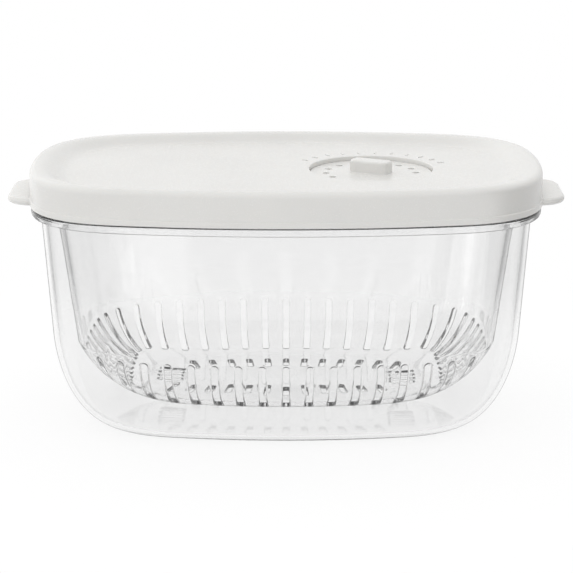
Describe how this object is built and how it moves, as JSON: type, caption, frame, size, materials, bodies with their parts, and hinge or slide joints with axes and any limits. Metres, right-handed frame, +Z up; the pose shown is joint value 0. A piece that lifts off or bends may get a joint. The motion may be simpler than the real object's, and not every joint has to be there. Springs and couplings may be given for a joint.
{
  "type": "onion keeper",
  "caption": "Clear rounded food keeper with a flanged rim, a slotted strainer basket inside and a pale press-on lid with pull tabs and a turning vent dial.",
  "frame": {"origin": "centre of the flat base of the tub", "axes": "+X along the long side towards the end nearest the vent dial, +Y across the depth towards the back, +Z up"},
  "size_m": [0.2532, 0.1458, 0.1166],
  "materials": {
    "clear_tub": "clear moulded copolyester, polished",
    "clear_basket": "clear moulded copolyester, polished",
    "lid_plastic": "moulded polypropylene, fine satin",
    "dial_plastic": "moulded polypropylene, fine satin",
    "seal_rubber": "translucent silicone, matt",
    "retainer_plastic": "moulded polypropylene, fine satin"
  },
  "bodies": {
    "tub": {"container": "clear_tub"},
    "basket": {"strainer_basket": "clear_basket"},
    "lid_assembly": {"lid": "lid_plastic", "lid_gasket": "seal_rubber"},
    "dial": {"vent_dial": "dial_plastic", "dial_seal": "seal_rubber", "dial_retainer": "retainer_plastic"}
  },
  "joints": [
    {"name": "lid_lift", "type": "slide", "parent": "tub", "child": "lid_assembly", "axis": [0, 0, 1], "range_m": [0, 0.135]},
    {"name": "basket_lift", "type": "slide", "parent": "tub", "child": "basket", "axis": [0, 0, 1], "range_m": [0, 0.108]},
    {"name": "dial_turn", "type": "hinge", "parent": "lid_assembly", "child": "dial", "pos_m": [0.0387, 0, 0.1104], "axis": [0, 0, 1], "range_deg": [0, 90]}
  ],
  "couplings": [
    {"joint": "basket_lift", "follows": "lid_lift", "ratio": 0.8}
  ]
}
